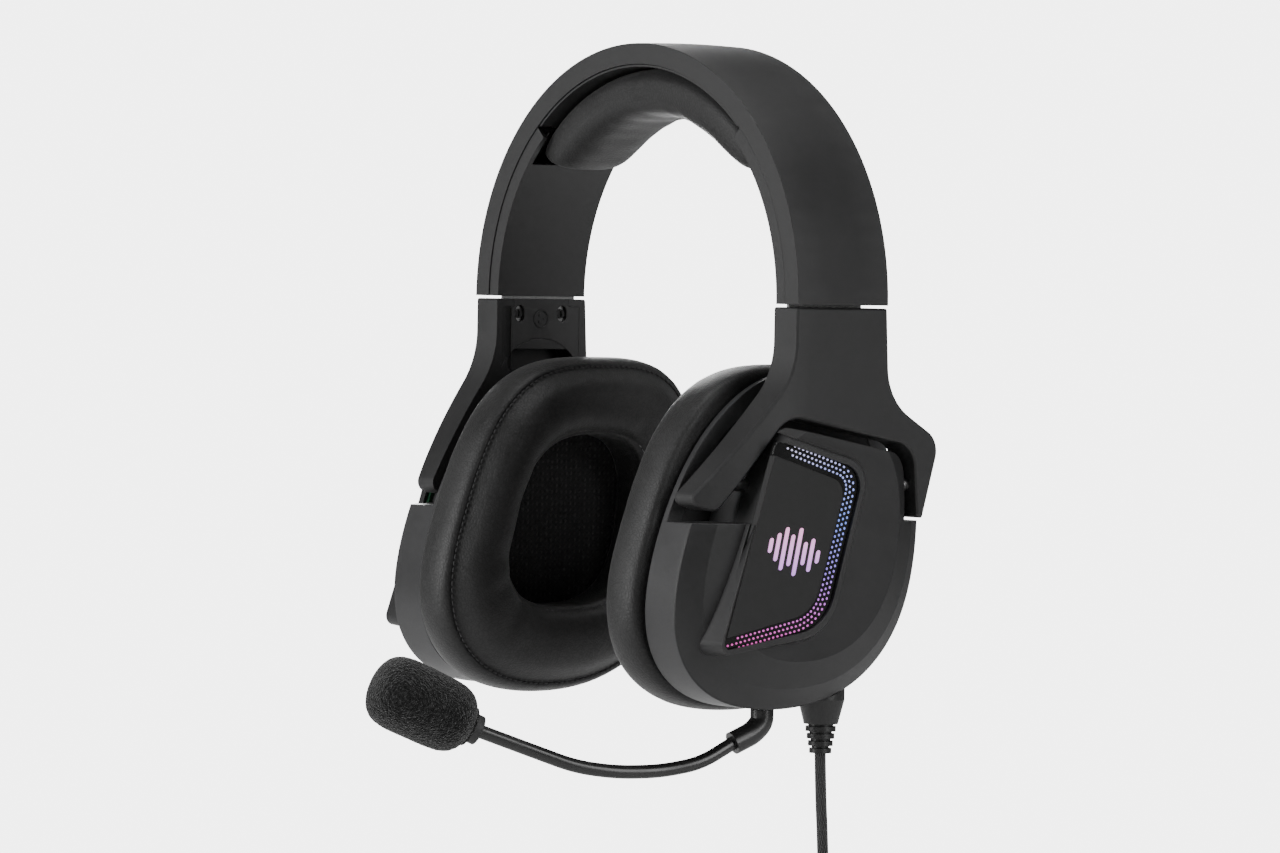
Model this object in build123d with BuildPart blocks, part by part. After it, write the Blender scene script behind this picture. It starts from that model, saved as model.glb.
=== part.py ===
from build123d import *
from math import cos, sin, pi, radians, sqrt, copysign
import os

# A wired gaming headset, in millimetres. +Z is up, the wearer faces -Y and +X is the
# wearer's left. The origin is the middle of the head pad's underside, at the crown.
# Left pieces are modelled and the right ones are their mirror images in the YZ plane.

# ---- headband arch -------------------------------------------------------------
pad_inner_radius = 57.0         # head pad's underside, about the arch's centre
pad_thickness = 15.5            # between the pad's underside and its base
pad_width = 31.0
pad_half_angle = 51.0           # pad's reach each side of the crown, in degrees
arch_outer_radius = 80.0
arch_rim = 6.5                  # thickness of the shell's rims
arch_wall = 2.4                 # shell's skin over the cavity
arch_crown = 0.4                # how far the skin bulges between the rims
band_width = 36.0
arm_thickness = 11.0            # shell and liner together, where the arm ends
liner_wall = 1.2
liner_top_angle = 47.0          # liner's upper end, up from the arm's end, in degrees
rim_width = 2.2
spring_thickness = 0.8
spring_width = 12.0
spring_half_angle = 61.0
cable_diameter = 1.8
fit_gap = 0.15                  # clearance between pieces that seat together
seat_gap = 0.05                 # clearance of flush insets

# ---- slider --------------------------------------------------------------------
slide_gap = 0.9                 # open gap between the arm and the yoke, closed up
tongue_thickness = 1.0
tongue_width = 29.0
tongue_engagement = 28.0        # length of tongue inside the arm, closed up
tongue_root = 14.0              # length of tongue held in the yoke
pin_radius = 2.0
pin_clearance = 0.05            # radial running clearance of the pivot pins

# ---- yoke ----------------------------------------------------------------------
yoke_wall = 2.6                 # outer wall of the yoke over its wiring pocket
yoke_rim = 2.4
yoke_cover_thickness = 1.2
yoke_edge = 0.6                 # chamfer along the yoke's outer edges
pivot_height = -112.0
pivot_front = (68.5, -41.0)     # (X, Y) of the pivot axis at the front and the rear leg
pivot_rear = (74.5, 33.0)
leg_bend = -12.0                # Y where the front leg begins to curve inwards
leg_tip_inner = (59.5, -50.6)   # (X, Y) of the curved leg's faces at its tip
leg_tip_outer = (67.5, -50.6)

# ---- ear cup -------------------------------------------------------------------
cup_middle = (-6.2, -129.0)     # (Y, Z) of the cup's middle
cup_half_width = 46.0
cup_half_height = 51.5
cup_power = 2.3                 # roundness: 2 is an ellipse, more is squarer
cup_lean = 0.20                 # how far the oval leans back with height
cup_taper = 0.0027              # how much narrower it gets per mm of height
cushion_front = 31.5            # X of the face that touches the head
cushion_back = 54.8
cushion_bulge = 1.6
cushion_half_width = 47.5
cushion_middle = (-7.2, -129.0)
cushion_powers = (3.2, 2.2)     # the cushion is squarer above its middle than below
hole_half_width = 27.0
hole_half_height = 28.5
hole_middle = (-7.5, -127.5)
hole_power = 2.8                # the ear hole is squarer than the cup
hole_backing = 2.0              # how far the plate behind stands outside the ear hole
plate_thickness = 1.2
flange_thickness = 2.2
cup_wall = 2.2
ring_edge = 70.0                # X of the seam between bezel ring and housing
dome_rise = (5.0, 9.0)          # heights of the housing's two facets over the seam
dome_inset = (6.5, 15.0)        # and how far they step in
recess_floor = -123.4           # Z where the recess around the yoke ends
panel_face = 84.0
light_recess = 1.0
baffle_thickness = 2.0
sound_hole = 4.0                # radius of the seven holes before the driver
sound_circle = 12.0
baffle_inset = -6.0             # from the cup's outline
driver_radius = 25.0
driver_depth = 8.0
magnet_radius = 14.0
magnet_depth = 3.5
vent_radius = 2.0
screw_radius = 1.5
driver_slot = 2.5               # width and depth of the driver's front rim
boss_inset = -4.2
boss_radius = 3.0
cup_screw_radius = 1.25
driver_bit = 0.5                # width of the slots in the screw heads

# ---- microphone ----------------------------------------------------------------
exit_outset = 63.0              # X of both exits on the cup's underside
mic_exit = -15.0                # Y of the microphone's socket
socket_radius = 4.0
jack_radius = 1.75
jack_length = 13.0
elbow_radius = 3.6
neck_radius = 2.1
foam_radius = 11.6
foam_length = 33.0

# ---- cord ----------------------------------------------------------------------
cord_exit = 8.7                 # Y of the cord's strain relief
cord_diameter = 3.5
relief_radius = 7.2
relief_neck = 4.3
relief_length = 18.6
coil_inner = 14.0               # radii and half width of the put-away coil
coil_outer = 28.0
coil_half_width = 7.0
coil_corner = 3.0
coil_centre = (71.8, 17.0, -264.0)
tie_width = 12.0
tie_thickness = 1.4
tie_slack = 0.25
tie_corner = 4.0
tie_shift = 2.0                 # towards the front of the coil's middle

arch_centre = -pad_inner_radius
liner_radius = arch_outer_radius - arm_thickness
yoke_top = arch_centre - slide_gap
half_band = band_width / 2
bore_reach = 4 * half_band      # the pivot bore is cut this far each side of the middle
inner_face = liner_radius
outer_face = arch_outer_radius
recess_deck = cushion_back + plate_thickness + fit_gap + flange_thickness
recess_reach = 40.0             # the room around the yoke is cut this far outwards
ring_height = ring_edge - recess_deck

os.makedirs("parts", exist_ok=True)


def save(piece, name):
    piece.part.label = name
    export_step(piece.part, f"parts/{name}.step")


def save_pair(piece, name):
    """Write a left piece and its mirror image as the right one."""
    save(piece, f"left_{name}")
    with BuildPart() as twin:
        add(piece.part)
        mirror(about=Plane.YZ, mode=Mode.REPLACE)
    save(twin, f"right_{name}")


cup_shape = (cup_half_width, cup_half_height, cup_middle, cup_power, cup_power)
hole_shape = (hole_half_width, hole_half_height, hole_middle, hole_power, hole_power)
cushion_shape = (cushion_half_width, cup_half_height, cushion_middle, *cushion_powers)


def cup_point(turn, grow=0.0, shape=cup_shape):
    """Point of a leaning oval at a turn in radians, grown outwards."""
    half_width, half_height, middle, upper, lower = shape
    power = upper if sin(turn) > 0 else lower
    lift = (half_height + grow) * copysign(abs(sin(turn)) ** (2 / power), sin(turn))
    reach = (half_width + grow) * copysign(abs(cos(turn)) ** (2 / power), cos(turn))
    return (middle[0] + cup_lean * lift + reach * (1 - cup_taper * lift), middle[1] + lift)


def oval(grow=0.0, shape=cup_shape, count=24):
    """Face of a leaning oval; call it inside a sketch on a YZ plane."""
    points = [cup_point(2 * pi * (k + 0.5) / count, grow, shape) for k in range(count)]
    with BuildLine() as edge:
        Spline(*points, periodic=True)
    make_face(edge.edges())


def hole_oval(grow=0.0):
    oval(grow, hole_shape)


def plain_oval(grow=0.0):
    """The cup's oval as a sketch of its own."""
    with BuildSketch() as face:
        oval(grow)
    return face.sketch


def plain_hole(grow=0.0):
    """The ear hole's oval as a sketch of its own."""
    with BuildSketch() as face:
        hole_oval(grow)
    return face.sketch


def rounded(points, radii):
    """Face of a polygon whose corners have the given radii."""
    with BuildLine() as edge:
        FilletPolyline(*points, radius=radii, close=True)
    make_face(edge.edges())


def arc_band(r_in, r_out, width, start, end, mode=Mode.ADD):
    """Solid of a rectangular section turned about the arch's axis, degrees up from +X."""
    start_plane = Plane(origin=(0, 0, arch_centre), x_dir=(cos(radians(start)), 0, sin(radians(start))),
                        z_dir=(sin(radians(start)), 0, -cos(radians(start))))
    with BuildSketch(start_plane) as section:
        with Locations(((r_in + r_out) / 2, 0)):
            Rectangle(r_out - r_in, width)
    revolve(section.sketch, axis=Axis((0, 0, arch_centre), (0, -1, 0)), revolution_arc=end - start, mode=mode)


# ---- headband --------------------------------------------------------------------
with BuildPart() as headband_shell:
    with BuildSketch(Plane(origin=(0, 0, arch_centre), x_dir=(1, 0, 0), z_dir=(0, 0, -1))):
        with BuildLine():
            corner = arch_outer_radius - arch_rim
            floor = arch_outer_radius - arch_wall
            Polyline((arch_outer_radius, half_band), (corner, half_band), (corner, half_band - rim_width),
                     (floor, half_band - rim_width), (floor, rim_width - half_band),
                     (corner, rim_width - half_band), (corner, -half_band), (arch_outer_radius, -half_band))
            ThreePointArc((arch_outer_radius, -half_band), (arch_outer_radius + arch_crown, 0),
                          (arch_outer_radius, half_band))
        make_face()
    revolve(axis=Axis((0, 0, arch_centre), (0, -1, 0)), revolution_arc=180)
save(headband_shell, "headband_shell")

spring_radius = floor - 2.0
with BuildPart() as headband_spring:
    arc_band(spring_radius - spring_thickness, spring_radius, spring_width,
             90 - spring_half_angle, 90 + spring_half_angle)
save(headband_spring, "headband_spring")

with BuildPart() as link_cable:
    cable_start = 90 - spring_half_angle
    with BuildSketch(Plane(origin=(0, 0, arch_centre),
                           x_dir=(cos(radians(cable_start)), 0, sin(radians(cable_start))),
                           z_dir=(sin(radians(cable_start)), 0, -cos(radians(cable_start))))):
        with Locations((spring_radius, spring_width / 2 + 2 * cable_diameter)):
            Circle(cable_diameter / 2)
    revolve(axis=Axis((0, 0, arch_centre), (0, -1, 0)), revolution_arc=2 * spring_half_angle)
save(link_cable, "link_cable")

pad_top_radius = pad_inner_radius + pad_thickness
with BuildPart() as headband_pad_base:
    arc_band(pad_top_radius + fit_gap, corner - fit_gap, band_width - 1.0,
             liner_top_angle + 1, 179 - liner_top_angle)
save(headband_pad_base, "headband_pad_base")

with BuildPart() as headband_pad:
    arc_band(pad_inner_radius, pad_top_radius, pad_width, 90 - pad_half_angle, 90 + pad_half_angle)
    fillet(headband_pad.edges().filter_by(GeomType.CIRCLE).sort_by(SortBy.RADIUS)[:2], radius=6.0)
save(headband_pad, "headband_pad")

# The liner closes the arm's inner side, and its upper end is scooped out for the pad.
with BuildPart() as arm_liner:
    arc_band(liner_radius, corner - fit_gap, band_width - 0.8, 0, liner_top_angle)
    arc_band(liner_radius + liner_wall, corner + 1, band_width - 2 * rim_width, -1, liner_top_angle - 1,
             mode=Mode.SUBTRACT)
    arc_band(liner_radius - 1, pad_top_radius + fit_gap, pad_width + 0.8,
             90 - pad_half_angle - 1.5, liner_top_angle + 1, mode=Mode.SUBTRACT)
save_pair(arm_liner, "arm_liner")

# ---- slider: a flat tongue that slides in the arm, and the forked yoke it carries ----
tongue_inset = liner_radius + liner_wall + fit_gap
tongue_back = tongue_inset + tongue_thickness + seat_gap
cover_screw_places = [(-8.6, -62.6), (8.6, -62.6)]
shank_radius = 0.9
shank_end = 76.0
with BuildPart() as slider_tongue:
    with BuildSketch(Plane.XY.offset(arch_centre + tongue_engagement)):
        with Locations((tongue_inset + tongue_thickness / 2, 0)):
            Rectangle(tongue_thickness, tongue_width)
    extrude(amount=-(tongue_engagement + slide_gap + tongue_root))
    with BuildSketch(Plane.YZ.offset(inner_face)):
        with Locations(*cover_screw_places):
            Circle(shank_radius + seat_gap)
    extrude(amount=tongue_back - inner_face, mode=Mode.SUBTRACT)
save_pair(slider_tongue, "slider_tongue")

# Outline of the yoke in (Y, Z): neck, long front leg, arch over the cup, short rear leg.
yoke_corners = [(-half_band, yoke_top), (-half_band, -77.7), (-50.6, -117.2), (-42.5, -120.3),
                (-20.5, -90.8), (29.8, -100.0), (31.6, -121.5), (33.8, -122.6), (40.5, -98.5),
                (half_band + 1.5, -86.0), (half_band, yoke_top)]
yoke_radii = [0.8, 26.0, 2.6, 2.6, 9.0, 8.0, 0.9, 0.9, 7.0, 18.0, 0.8]
pivot_slope = (pivot_rear[0] - pivot_front[0]) / (pivot_rear[1] - pivot_front[1])
pivot_plane = Plane(origin=(pivot_rear[0] - pivot_slope * pivot_rear[1], 0, pivot_height),
                    x_dir=(0, 0, 1), z_dir=(pivot_slope, 1, 0))
pin_reaches = [(-44.5, -26.0), (26.2, 35.2)]    # along the pivot axis, front and rear
cover_top = yoke_top - yoke_rim
cover_half = half_band - yoke_rim
cover_bottom = -79.5
cover_arch = -70.5
cover_tab = 11.0
cover_back = inner_face + yoke_cover_thickness
pocket_floor = outer_face - yoke_wall
pocket_top = -74.0
pocket_bottom = -81.0
pocket_width = 27.0


def cover_outline(grow=0.0):
    """Sketch of the inner cover, with a centre tab at the top and an arched lower side."""
    with BuildSketch() as face:
        with BuildLine():
            Polyline((cover_half, cover_bottom), (cover_half, cover_top), (cover_tab, cover_top),
                     (cover_tab, yoke_top), (-cover_tab, yoke_top), (-cover_tab, cover_top),
                     (-cover_half, cover_top), (-cover_half, cover_bottom))
            ThreePointArc((-cover_half, cover_bottom), (0, cover_arch), (cover_half, cover_bottom))
        make_face()
        if grow:
            offset(amount=grow, mode=Mode.REPLACE)
    return face.sketch


def leg_curve(face, tip):
    """X of a leg face's arc at a Y; the arc leaves the flat face at the bend and ends at the tip."""
    length, drop = leg_bend - tip[1], face - tip[0]
    radius = (length**2 + drop**2) / (2 * drop)
    return lambda y: face - radius + sqrt(radius**2 - min(0, y - leg_bend) ** 2)


leg_inner = leg_curve(inner_face, leg_tip_inner)
leg_outer = leg_curve(outer_face, leg_tip_outer)
leg_end = leg_tip_inner[1] - 2
yoke_rear = 50.0
plan_low = -140.0               # the plan is cut through the whole height of the yoke
plan_height = 100.0


def outer_edge(edge):
    """True for an edge that bounds the yoke's outer face."""
    spots = [edge @ t for t in (0, 0.5, 1)]
    across = all(abs(spot.Y - leg_bend) < 0.01 for spot in spots)
    return not across and all(abs(spot.X - leg_outer(spot.Y)) < 0.01 for spot in spots)


with BuildPart() as yoke:
    with BuildSketch(Plane.YZ.offset(leg_inner(leg_end) - 1)):
        rounded(yoke_corners, yoke_radii)
    extrude(amount=outer_face - leg_inner(leg_end) + 1)
    with BuildSketch(Plane.XY.offset(plan_low)):
        with BuildLine():
            middle = (leg_bend + leg_end) / 2
            Polyline((inner_face, leg_bend), (inner_face, yoke_rear), (outer_face, yoke_rear),
                     (outer_face, leg_bend))
            ThreePointArc((outer_face, leg_bend), (leg_outer(middle), middle), (leg_outer(leg_end), leg_end))
            Line((leg_outer(leg_end), leg_end), (leg_inner(leg_end), leg_end))
            ThreePointArc((leg_inner(leg_end), leg_end), (leg_inner(middle), middle), (inner_face, leg_bend))
        make_face()
    extrude(amount=plan_height, mode=Mode.INTERSECT)
    chamfer([edge for edge in yoke.edges() if outer_edge(edge)], length=yoke_edge)
    with BuildSketch(Plane.YZ.offset(inner_face)):
        add(cover_outline(seat_gap))
    extrude(amount=yoke_cover_thickness + seat_gap, mode=Mode.SUBTRACT)
    # Seat of the tongue, open to the arm above, and the wiring pocket below it.
    with BuildSketch(Plane.YZ.offset(cover_back)):
        with Locations((0, yoke_top - tongue_root / 2)):
            Rectangle(tongue_width + 2 * seat_gap, tongue_root + 2 * seat_gap)
    extrude(amount=tongue_back - cover_back, mode=Mode.SUBTRACT)
    with BuildSketch(Plane.YZ.offset(inner_face)):
        with Locations((0, (pocket_top + pocket_bottom) / 2)):
            RectangleRounded(pocket_width, pocket_top - pocket_bottom, 2.0)
    extrude(amount=pocket_floor - inner_face, mode=Mode.SUBTRACT)
    with BuildSketch(Plane.YZ.offset(inner_face)):
        with Locations(*cover_screw_places):
            Circle(shank_radius)
    extrude(amount=shank_end - inner_face, mode=Mode.SUBTRACT)
    for start, end in pin_reaches:
        with BuildSketch(pivot_plane.offset(start)):
            Circle(pin_radius)
        extrude(amount=end - start, mode=Mode.SUBTRACT)
save_pair(yoke, "yoke")

slot_width = 3.6
slot_length = 5.2
mark_height = -64.2             # raised ring with three dots, told by touch
mark_radius = 3.0
mark_line = 0.45
mark_rise = 0.3
dot_radius = 0.4
dot_circle = 1.2
with BuildPart() as yoke_cover:
    with BuildSketch(Plane.YZ.offset(inner_face)):
        add(cover_outline())
        with Locations(*cover_screw_places):
            SlotOverall(slot_length, slot_width, rotation=90, mode=Mode.SUBTRACT)
    extrude(amount=yoke_cover_thickness)
    with BuildSketch(Plane.YZ.offset(inner_face)):
        with Locations((0, mark_height)):
            Circle(mark_radius)
            Circle(mark_radius - mark_line, mode=Mode.SUBTRACT)
            with PolarLocations(dot_circle, 3):
                Circle(dot_radius)
    extrude(amount=-mark_rise)
save_pair(yoke_cover, "yoke_cover")

head_sink = 0.5                 # screw heads sit this far below the cover's face
slot_reach = 2.0                # length of the slots in the screw heads
with BuildPart() as yoke_screws:
    with BuildSketch(Plane.YZ.offset(inner_face + head_sink)):
        with Locations(*cover_screw_places):
            Circle(screw_radius)
            Rectangle(driver_bit, slot_reach, mode=Mode.SUBTRACT)
    extrude(amount=tongue_inset - inner_face - head_sink - seat_gap)
    with BuildSketch(Plane.YZ.offset(tongue_inset - seat_gap)):
        with Locations(*cover_screw_places):
            Circle(shank_radius)
    extrude(amount=shank_end - tongue_inset + seat_gap)
save_pair(yoke_screws, "yoke_screws")

# The raised middle of the cup stands inside the yoke; its walls in (Y, Z).
middle_corners = [(-40.0, -140.0), (-22.5, -93.6), (28.4, -103.0), (28.4, -140.0)]
middle_radii = [1.0, 6.0, 7.0, 1.0]
with BuildPart() as pivot_pins:
    for start, end in pin_reaches:
        with BuildSketch(pivot_plane.offset(start)):
            Circle(pin_radius)
        extrude(amount=end - start)
save_pair(pivot_pins, "pivot_pins")


# ---- ear cup ---------------------------------------------------------------------
def recess_zone(grow=0.0):
    """Face of the room around the yoke, beside the raised middle and above the recess floor."""
    with BuildSketch() as middle:
        rounded(middle_corners, middle_radii)
        if grow:
            offset(amount=-grow, mode=Mode.REPLACE)
    with BuildSketch() as zone:
        low = recess_floor - grow
        with Locations((0, low / 2)):
            Rectangle(4 * cup_half_width, -low)
        add(middle.sketch, mode=Mode.SUBTRACT)
    return zone.sketch


def cup_room(grow=0.0, wall=0.0):
    """Face of the cup's oval without the room around the yoke."""
    with BuildSketch() as room:
        oval(grow - wall)
        add(recess_zone(wall), mode=Mode.SUBTRACT)
    return room.sketch


def standing(sketch, x):
    """A flat sketch in (Y, Z) stood up at X."""
    return Plane.YZ.offset(x) * sketch


def dome(wall=0.0):
    """Solid under the housing's faceted skin beside the yoke, or its inside if a wall is given."""
    heights = (ring_edge, ring_edge + dome_rise[0] - wall / 2, ring_edge + dome_rise[1] - wall)
    insets = (0.0, dome_inset[0], dome_inset[1])
    with BuildPart() as body:
        loft([standing(plain_oval(-i - wall), x) for i, x in zip(insets, heights)], ruled=True)
        extrude(standing(recess_zone(wall), recess_deck), amount=recess_reach, mode=Mode.SUBTRACT)
    return body.part


boss_turns = [195, 225, 282, 358]
boss_places = [cup_point(radians(turn), boss_inset) for turn in boss_turns]
mic_place = (exit_outset, mic_exit)
cord_place = (exit_outset, cord_exit)
cup_bottom = cup_middle[1] - cup_half_height
boss_skin = 1.0                 # solid left over the blind screw bores
exit_depth = 14.0               # bores of the two exits, up from the cup's underside


def edge_frame(turn):
    """Point of the cup's oval and its outward normal, in (Y, Z)."""
    before, here, after = (cup_point(turn + step) for step in (-0.01, 0.0, 0.01))
    along = (after[0] - before[0], after[1] - before[1])
    size = sqrt(along[0] ** 2 + along[1] ** 2)
    return here, (along[1] / size, -along[0] / size)


wheel_radius = 8.0
wheel_thickness = 4.0
wheel_proud = 2.2
wheel_clearance = 0.4
wheel_turn = 337                # place on the cup's edge, in degrees round the oval
wheel_edge, wheel_normal = edge_frame(radians(wheel_turn))
wheel_centre = [wheel_edge[k] - (wheel_radius - wheel_proud) * wheel_normal[k] for k in (0, 1)]
button_radius = 3.4
button_proud = 1.2
button_travel = 0.8
button_depth = 7.0
button_clearance = 0.3
button_turn = 316
button_edge, button_normal = edge_frame(radians(button_turn))
button_plane = Plane(origin=(exit_outset, *button_edge), x_dir=(1, 0, 0), z_dir=(0, *button_normal))


def make_ring(left):
    with BuildPart() as ring:
        with BuildSketch(Plane.YZ.offset(recess_deck - flange_thickness)):
            oval()
            add(plain_oval(baffle_inset + seat_gap), mode=Mode.SUBTRACT)
        extrude(amount=flange_thickness)
        extrude(standing(cup_room(), recess_deck), amount=ring_height)
        extrude(standing(cup_room(0, cup_wall), recess_deck), amount=ring_height, mode=Mode.SUBTRACT)
        with BuildSketch(Plane.YZ.offset(recess_deck)):
            with Locations(*boss_places):
                Circle(boss_radius)
        extrude(amount=ring_height)
        with BuildSketch(Plane.YZ.offset(recess_deck - flange_thickness)):
            with Locations(*boss_places):
                Circle(cup_screw_radius + seat_gap)
        extrude(amount=ring_height + flange_thickness - boss_skin, mode=Mode.SUBTRACT)
        with BuildSketch(pivot_plane.offset(-bore_reach)):
            Circle(pin_radius + pin_clearance)
        extrude(amount=2 * bore_reach, mode=Mode.SUBTRACT)
        if left:
            with BuildSketch(Plane.XY.offset(cup_bottom - 1)):
                with Locations(mic_place):
                    Circle(socket_radius + seat_gap)
                with Locations(cord_place):
                    Circle(relief_neck + seat_gap)
            extrude(amount=exit_depth, mode=Mode.SUBTRACT)
            with BuildSketch(Plane.YZ.offset(exit_outset - wheel_thickness / 2 - wheel_clearance)):
                with Locations(tuple(wheel_centre)):
                    Circle(wheel_radius + wheel_clearance)
            extrude(amount=wheel_thickness + 2 * wheel_clearance, mode=Mode.SUBTRACT)
            with BuildSketch(button_plane.offset(-button_depth)):
                Circle(button_radius + button_clearance)
            extrude(amount=button_depth + 2 * button_proud, mode=Mode.SUBTRACT)
    return ring


save(make_ring(True), "left_bezel_ring")
with BuildPart() as plain_ring:
    add(make_ring(False).part)
    mirror(about=Plane.YZ, mode=Mode.REPLACE)
save(plain_ring, "right_bezel_ring")

dome_outside = dome()
dome_inside = dome(cup_wall)
with BuildPart() as housing:
    add(dome_outside)
    add(dome_inside, mode=Mode.SUBTRACT)
    with BuildSketch(pivot_plane.offset(-bore_reach)):
        Circle(pin_radius + pin_clearance)
    extrude(amount=2 * bore_reach, mode=Mode.SUBTRACT)
save_pair(housing, "housing")

# ---- raised trim panel with its light and emblem plate, outlines in (Y, Z) ---------------
panel_foot = ([(-23.5, -94.2), (21.5, -105.0), (3.0, -161.0), (-51.0, -164.0)], [5.0, 9.0, 20.0, 4.0])
panel_top = ([(-27.2, -96.4), (8.6, -106.0), (-6.2, -156.6), (-50.2, -163.2)], [3.0, 8.0, 17.0, 3.0])
light_edge = ([(-28.3, -98.0), (6.5, -107.3), (-7.5, -154.8), (-48.6, -161.4)], [2.0, 7.0, 16.0, 2.0])
plate_edge = ([(-30.2, -102.3), (-1.2, -111.2), (-13.2, -150.2), (-50.0, -158.0)], [1.0, 5.0, 13.0, 1.0])
board_thickness = 1.0
board_margin = 1.3              # the board is smaller than its pocket, clear of the yoke
light_thickness = 1.2
plate_proud = 0.3
pocket_depth = board_thickness + light_thickness + light_recess


def outline(shape, grow=0.0):
    """Sketch of a rounded polygon, grown or shrunk."""
    with BuildSketch() as face:
        rounded(*shape)
        if grow:
            offset(amount=grow, mode=Mode.REPLACE)
    return face.sketch


with BuildPart() as trim_panel:
    loft([standing(outline(panel_foot), ring_edge + 1), standing(outline(panel_top), panel_face)], ruled=True)
    add(dome_outside, mode=Mode.SUBTRACT)
    extrude(standing(outline(light_edge), panel_face - pocket_depth), amount=pocket_depth + 1,
            mode=Mode.SUBTRACT)
    extrude(standing(recess_zone(), recess_deck), amount=recess_reach, mode=Mode.SUBTRACT)
save_pair(trim_panel, "trim_panel")

with BuildPart() as led_board:
    extrude(standing(outline(light_edge, -board_margin), panel_face - pocket_depth), amount=board_thickness)
save_pair(led_board, "led_board")

light_floor = panel_face - pocket_depth + board_thickness
with BuildPart() as light_guide:
    with BuildSketch(Plane.YZ.offset(light_floor)):
        add(outline(light_edge, -seat_gap))
        add(outline(plate_edge, seat_gap), mode=Mode.SUBTRACT)
    extrude(amount=light_thickness)
save_pair(light_guide, "light_guide")

with BuildPart() as emblem_plate:
    with BuildSketch(Plane.YZ.offset(light_floor)):
        add(outline(plate_edge))
        add(outline(light_edge, -seat_gap), mode=Mode.INTERSECT)
    extrude(amount=panel_face - light_floor + plate_proud)
save_pair(emblem_plate, "emblem_plate")

# ---- inside the cup -----------------------------------------------------------------------
baffle_back = recess_deck - flange_thickness
with BuildPart() as baffle:
    with BuildSketch(Plane.YZ.offset(baffle_back)):
        oval(baffle_inset)
        with Locations(cup_middle):
            with PolarLocations(sound_circle, 6):
                Circle(sound_hole, mode=Mode.SUBTRACT)
            Circle(sound_hole, mode=Mode.SUBTRACT)
    extrude(amount=baffle_thickness)
save_pair(baffle, "baffle")

driver_front = baffle_back + baffle_thickness + seat_gap
with BuildPart() as driver:
    with BuildSketch(Plane.YZ.offset(driver_front)):
        with Locations(cup_middle):
            Circle(driver_radius)
            Circle(driver_radius - driver_slot, mode=Mode.SUBTRACT)
    extrude(amount=driver_slot)
    with BuildSketch(Plane.YZ.offset(driver_front + driver_slot)) as basket_front:
        with Locations(cup_middle):
            Circle(driver_radius)
    with BuildSketch(Plane.YZ.offset(driver_front + driver_depth)) as basket_back:
        with Locations(cup_middle):
            Circle(magnet_radius + 1)
    loft([basket_front.sketch, basket_back.sketch])
    with BuildSketch(Plane.YZ.offset(driver_front + driver_depth + seat_gap)):
        with Locations(cup_middle):
            Circle(magnet_radius)
            Circle(vent_radius, mode=Mode.SUBTRACT)
    extrude(amount=magnet_depth)
save_pair(driver, "driver")

with BuildPart() as cup_screws:
    with BuildSketch(Plane.YZ.offset(baffle_back)):
        with Locations(*boss_places):
            Circle(cup_screw_radius)
            Rectangle(driver_bit, 1.5 * cup_screw_radius, mode=Mode.SUBTRACT)
    extrude(amount=ring_edge - baffle_back - 2 * boss_skin)
save_pair(cup_screws, "cup_screws")

with BuildPart() as cushion_plate:
    with BuildSketch(Plane.YZ.offset(cushion_back + fit_gap)):
        oval(-hole_backing)
        add(plain_hole(hole_backing), mode=Mode.SUBTRACT)
    extrude(amount=plate_thickness - fit_gap)
save_pair(cushion_plate, "cushion_plate")

with BuildPart() as ear_cushion:
    with BuildSketch(Plane.YZ.offset(cushion_front)):
        oval(cushion_bulge, cushion_shape)
        add(plain_hole(), mode=Mode.SUBTRACT)
    extrude(amount=cushion_back - cushion_front)
save_pair(ear_cushion, "ear_cushion")

cloth_thickness = 0.6
with BuildPart() as ear_cloth:
    with BuildSketch(Plane.YZ.offset(cushion_back + fit_gap)):
        hole_oval(hole_backing - fit_gap)
    extrude(amount=cloth_thickness)
save_pair(ear_cloth, "ear_cloth")

board_place = (-8.0, -153.0)
board_size = (38.0, 18.0)
board_corner = 1.5
board_lift = 0.8                # above the seam between bezel ring and housing
circuit_thickness = 1.6
with BuildPart() as control_board:
    with BuildSketch(Plane.YZ.offset(ring_edge + board_lift)):
        with Locations(board_place):
            RectangleRounded(*board_size, board_corner)
    extrude(amount=circuit_thickness)
save(control_board, "control_board")

# ---- controls on the left cup's rear edge ---------------------------------------------------
axle_radius = 1.5
knurl_count = 30
knurl_radius = 0.3
with BuildPart() as volume_wheel:
    with BuildSketch(Plane.YZ.offset(exit_outset - wheel_thickness / 2)):
        with Locations(tuple(wheel_centre)):
            Circle(wheel_radius)
            Circle(axle_radius + pin_clearance, mode=Mode.SUBTRACT)
            with PolarLocations(wheel_radius, knurl_count):
                Circle(knurl_radius, mode=Mode.SUBTRACT)
    extrude(amount=wheel_thickness)
save(volume_wheel, "volume_wheel")

pot_size = 8.0
pot_shift = 2.5                 # the pot's middle sits this far inboard of its shaft
pot_depth = 3.0
pot_space = 0.5                 # between the wheel and the pot
with BuildPart() as volume_pot:
    with BuildSketch(Plane.YZ.offset(exit_outset + wheel_thickness / 2 + pot_space)):
        with Locations(tuple(wheel_centre[k] - pot_shift * wheel_normal[k] for k in (0, 1))):
            RectangleRounded(pot_size, pot_size, 1.0)
    extrude(amount=pot_depth)
    with BuildSketch(Plane.YZ.offset(exit_outset - wheel_thickness / 2)):
        with Locations(tuple(wheel_centre)):
            Circle(axle_radius)
    extrude(amount=wheel_thickness + 2 * pot_space)
save(volume_pot, "volume_pot")

button_length = 6.4
with BuildPart() as mute_button:
    with BuildSketch(button_plane.offset(button_proud - button_length)):
        Circle(button_radius)
    extrude(amount=button_length)
save(mute_button, "mute_button")

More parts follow.
